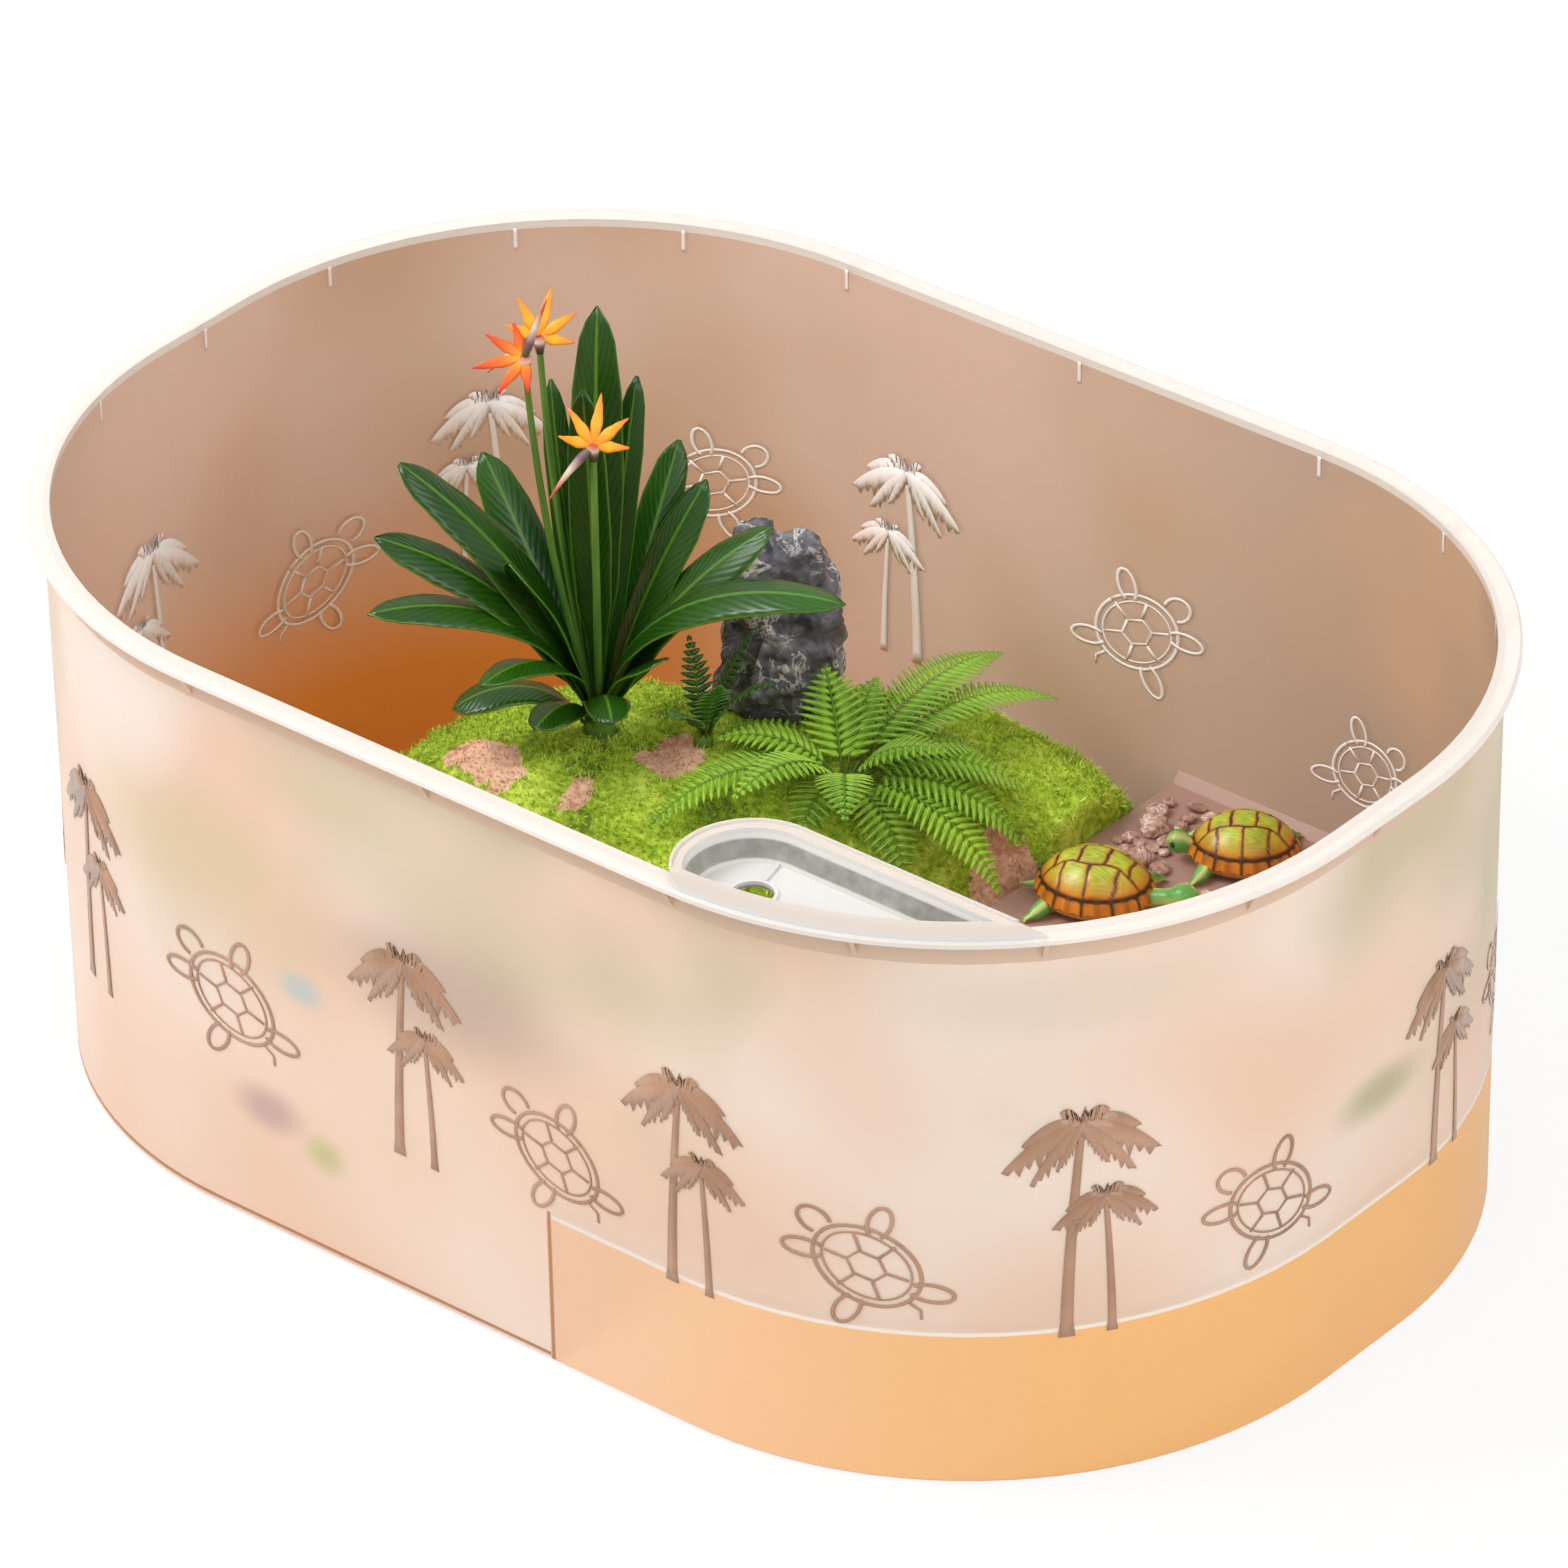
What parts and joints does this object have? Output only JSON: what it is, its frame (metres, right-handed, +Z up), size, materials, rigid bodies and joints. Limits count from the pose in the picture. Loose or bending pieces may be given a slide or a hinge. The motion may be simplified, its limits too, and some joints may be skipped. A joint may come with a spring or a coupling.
{
  "type": "turtle tank",
  "caption": "Oval frosted plastic turtle tank with a deep pool, a raised land floor, a hanging basking tray and a planted moss island with turtle figures.",
  "frame": {"origin": "middle of the tub's footprint, on the plane it stands on", "axes": "+X along the tub towards the raised land floor, +Y towards the long side behind the moss island, +Z up"},
  "size_m": [0.44, 0.3, 0.2323],
  "materials": {
    "tub": "frosted translucent polypropylene, orange-peach tint towards the skirt",
    "tray": "clear, slightly milky",
    "moss": "flocked moss over a foam body, with bare pinkish tan patches",
    "rock": "grey moulded stone with pale veins",
    "broad_leaf": "satin dark green",
    "orange_flower": "orange-red petals with a green and purple beak",
    "yellow_flower": "yellow-orange petals with a green and purple beak",
    "fern_leaf": "satin bright green",
    "turtle": "painted yellow-green shell with orange edges and dark seams",
    "pebble": "pinkish tan, slightly translucent"
  },
  "bodies": {
    "root": {"tub": "tub", "basking_tray": "tray", "moss_island": "moss", "standing_rock": "rock", "broad_leaf_plant": "broad_leaf", "flower_1": "orange_flower", "flower_2": "yellow_flower", "flower_3": "yellow_flower", "fern": "fern_leaf", "small_fern": "fern_leaf", "turtle_walking": "turtle", "turtle_resting": "turtle", "pebbles": "pebble"}
  },
  "joints": []
}
